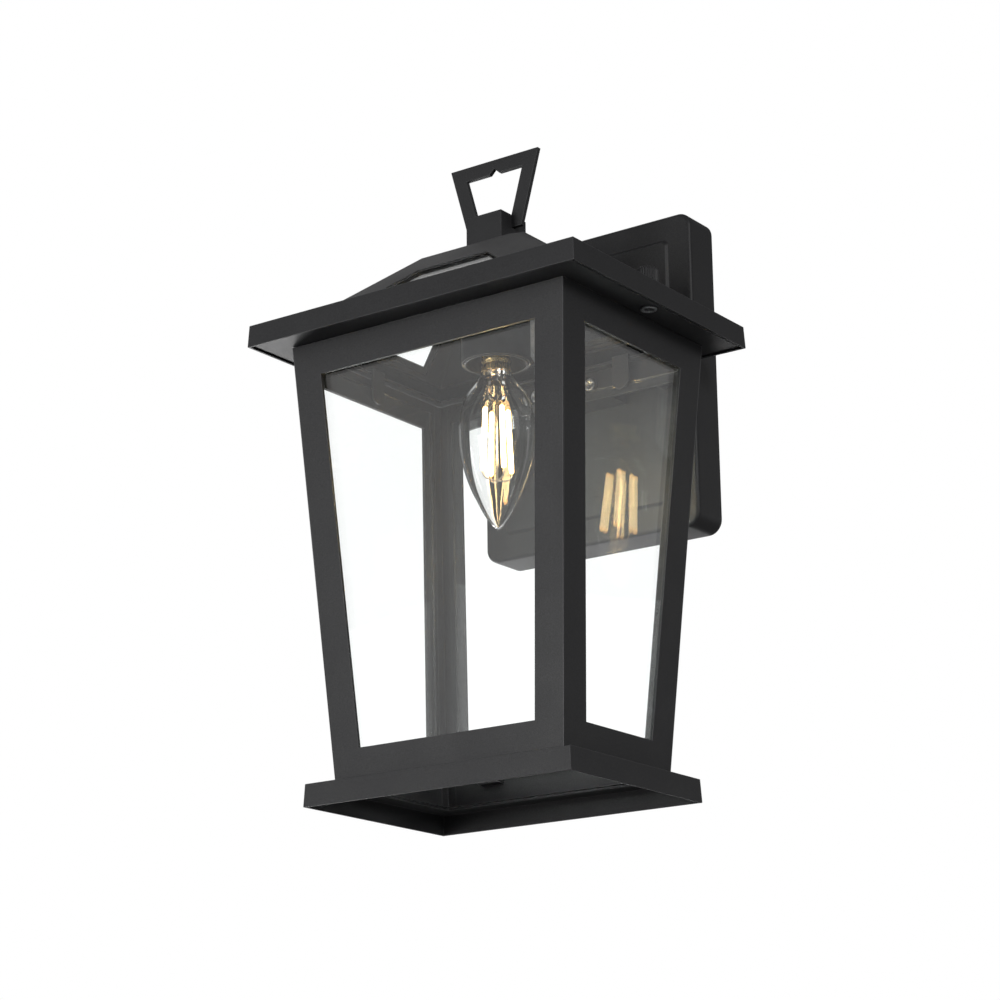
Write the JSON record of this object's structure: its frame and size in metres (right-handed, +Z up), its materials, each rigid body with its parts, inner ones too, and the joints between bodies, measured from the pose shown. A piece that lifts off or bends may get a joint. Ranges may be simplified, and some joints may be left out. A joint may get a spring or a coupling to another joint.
{
  "type": "outdoor wall lantern",
  "caption": "Tapered glazed outdoor wall lantern with a lift-off pyramid lid, a loop finial, an open base and a candle bulb, on a wall plate.",
  "frame": {"origin": "middle of the mounting strap's back face, on the wall plane behind the wall plate", "axes": "+Z up, +Y into the wall, the lantern faces -Y, +X to the right of someone facing the wall"},
  "size_m": [0.181, 0.1655, 0.3053],
  "materials": {
    "black_powder_coat": "fine-grained satin black powder coat on sheet steel",
    "clear_glass": "clear flat glass with polished edges",
    "bulb_glass": "clear blown glass",
    "zinc_steel": "bright zinc-plated steel",
    "brass": "plain brass",
    "phenolic": "moulded phenolic, satin",
    "foam_gasket": "closed-cell foam",
    "lead_sleeving": "cream glass-fibre sleeving and nylon",
    "ground_green": "green-passivated steel",
    "filament_phosphor": "yellow phosphor coating, glows warm white"
  },
  "bodies": {
    "lantern": {"wall_plate": "black_powder_coat", "wall_gasket": "foam_gasket", "mounting_strap": "zinc_steel", "plate_stud_left": "zinc_steel", "plate_stud_right": "zinc_steel", "cap_nut_left": "black_powder_coat", "cap_nut_right": "black_powder_coat", "ground_screw": "ground_green", "arm": "black_powder_coat", "arm_screw_left": "zinc_steel", "arm_screw_right": "zinc_steel", "front_frame": "black_powder_coat", "right_frame": "black_powder_coat", "back_frame": "black_powder_coat", "left_frame": "black_powder_coat", "eave_plate": "black_powder_coat", "barrel_nut_left": "zinc_steel", "barrel_nut_right": "zinc_steel", "front_pane": "clear_glass", "right_pane": "clear_glass", "back_pane": "clear_glass", "left_pane": "clear_glass", "pane_clip_front_left": "black_powder_coat", "pane_clip_front_right": "black_powder_coat", "pane_clip_back_left": "black_powder_coat", "pane_clip_back_right": "black_powder_coat", "pane_clip_left": "black_powder_coat", "pane_clip_right": "black_powder_coat", "base_tray": "black_powder_coat", "socket_strap": "zinc_steel", "strap_screw_front": "zinc_steel", "strap_screw_back": "zinc_steel", "threaded_nipple": "zinc_steel", "nipple_nut": "zinc_steel", "holder_body": "phenolic", "holder_sleeve": "black_powder_coat", "screw_shell": "brass", "socket_contact": "brass", "lamp_lead": "lead_sleeving", "lead_connector": "lead_sleeving"},
    "lid": {"lid_tray": "black_powder_coat", "cap": "black_powder_coat", "skylight_front": "clear_glass", "skylight_right": "clear_glass", "skylight_back": "clear_glass", "skylight_left": "clear_glass", "finial_block": "black_powder_coat", "finial_loop": "black_powder_coat", "finial_screw": "zinc_steel"},
    "left_thumb_screw": {"thumb_screw_left": "black_powder_coat"},
    "right_thumb_screw": {"thumb_screw_right": "black_powder_coat"},
    "bulb": {"bulb_envelope": "bulb_glass", "bulb_cap": "brass", "bulb_stem": "bulb_glass", "bulb_support": "zinc_steel", "filament_1": "filament_phosphor", "filament_2": "filament_phosphor", "filament_3": "filament_phosphor", "filament_4": "filament_phosphor"}
  },
  "joints": [
    {"name": "lid_lift", "type": "slide", "parent": "lantern", "child": "lid", "axis": [0, 0, 1], "range_m": [0, 0.12]},
    {"name": "left_thumb_screw_turn", "type": "hinge", "parent": "lid", "child": "left_thumb_screw", "pos_m": [-0.0825, -0.095, 0.0175], "axis": [0, 0, 1], "continuous": true},
    {"name": "right_thumb_screw_turn", "type": "hinge", "parent": "lid", "child": "right_thumb_screw", "pos_m": [0.0825, -0.095, 0.0175], "axis": [0, 0, 1], "continuous": true},
    {"name": "bulb_draw", "type": "slide", "parent": "lantern", "child": "bulb", "axis": [0, 0, -1], "range_m": [0, 0.25]}
  ]
}
